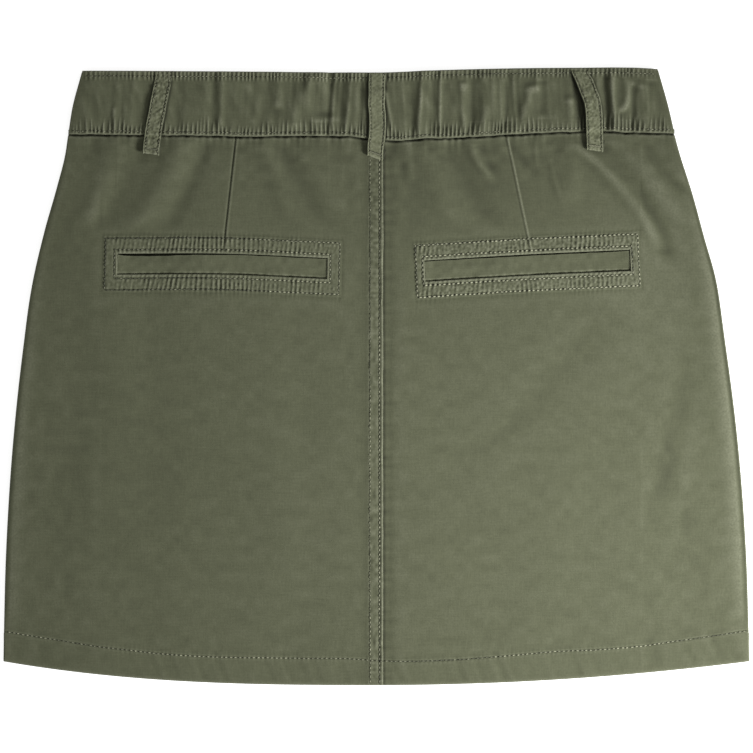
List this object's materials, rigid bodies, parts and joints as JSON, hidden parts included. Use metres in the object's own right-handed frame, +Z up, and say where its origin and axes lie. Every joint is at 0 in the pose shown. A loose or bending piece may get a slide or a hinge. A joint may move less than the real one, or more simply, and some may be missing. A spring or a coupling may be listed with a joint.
{
  "type": "mini skirt",
  "caption": "Flat-laid twill mini skirt seen from its back, with a gathered elastic waistband, belt loops, welt pockets and a turned-up hem.",
  "frame": {"origin": "on the surface the skirt lies on, under the middle of its bounding box", "axes": "+X across the skirt, to the right when its back is seen from above; +Y from the hem to the waist; +Z up, out of the back side"},
  "size_m": [0.493, 0.408, 0.0091],
  "materials": {
    "twill_back": "dull olive stretch cotton twill, garment washed",
    "twill_front": "the same twill, on the side that faces down",
    "twill_band": "the same twill, gathered over elastic",
    "twill_trim": "the same twill, folded and pressed, with tone-on-tone stitching"
  },
  "bodies": {
    "root": {"back_left": "twill_back", "back_right": "twill_back", "front_panel": "twill_front", "waistband_back": "twill_band", "waistband_front": "twill_front", "loop_left": "twill_trim", "loop_center": "twill_trim", "loop_right": "twill_trim", "welt_left": "twill_trim", "welt_right": "twill_trim"}
  },
  "joints": []
}
